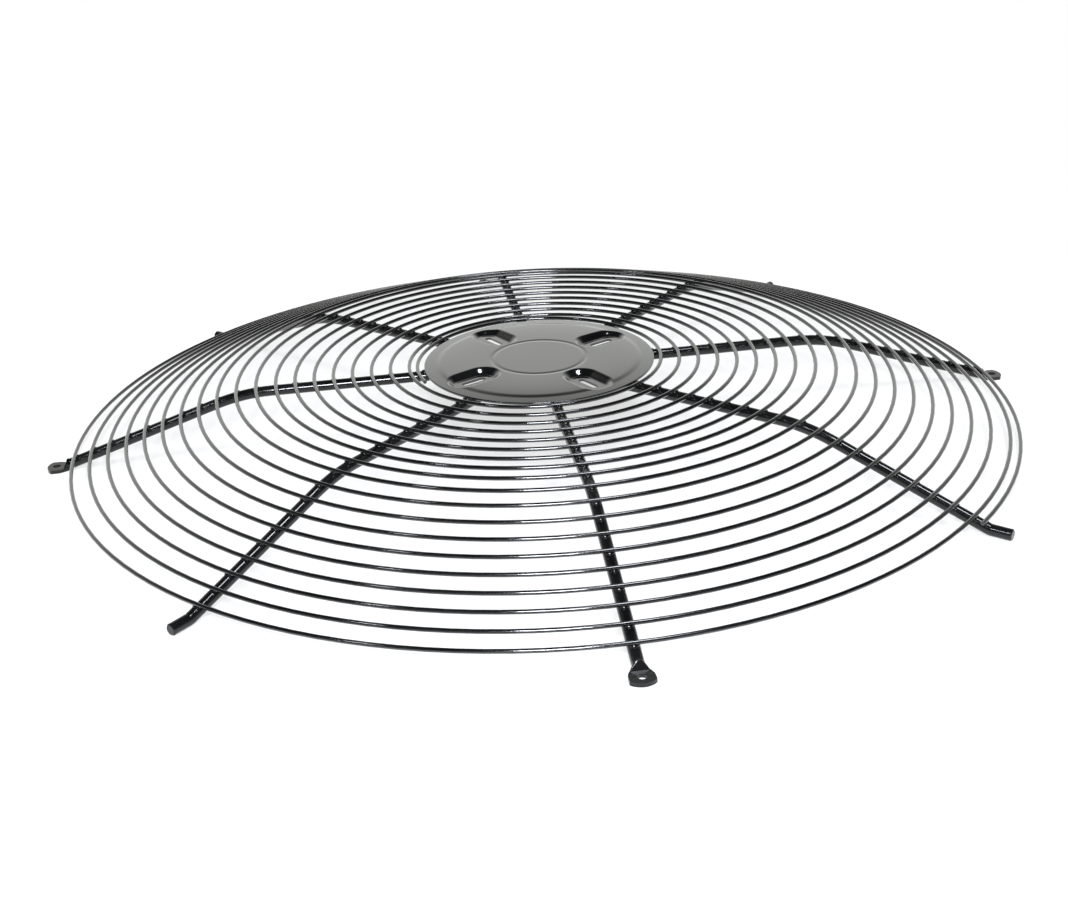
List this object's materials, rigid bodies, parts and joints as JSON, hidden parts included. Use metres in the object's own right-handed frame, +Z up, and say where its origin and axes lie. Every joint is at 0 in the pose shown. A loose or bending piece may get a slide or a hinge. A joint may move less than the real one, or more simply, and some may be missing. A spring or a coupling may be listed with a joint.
{
  "type": "wire fan guard",
  "caption": "Domed round wire guard for a condenser fan: one spiral wire welded on radial rods, with drilled ears at the rim and a stamped hub plate with slotted pockets.",
  "frame": {"origin": "centre of the guard on the plane that its eight feet stand on, which is the mounting face of the four ears", "axes": "+Z up out of the dome, towards the side that people see; the four ear spokes lie along +X, +Y, -X and -Y, the plain spokes between them"},
  "size_m": [0.662, 0.662, 0.0478],
  "materials": {
    "black_paint": "gloss black baked coating on steel"
  },
  "bodies": {
    "root": {"hub_plate": "black_paint", "spiral_wire": "black_paint", "ear_spoke_right": "black_paint", "ear_spoke_back": "black_paint", "ear_spoke_left": "black_paint", "ear_spoke_front": "black_paint", "plain_spoke_back_right": "black_paint", "plain_spoke_back_left": "black_paint", "plain_spoke_front_left": "black_paint", "plain_spoke_front_right": "black_paint"}
  },
  "joints": []
}
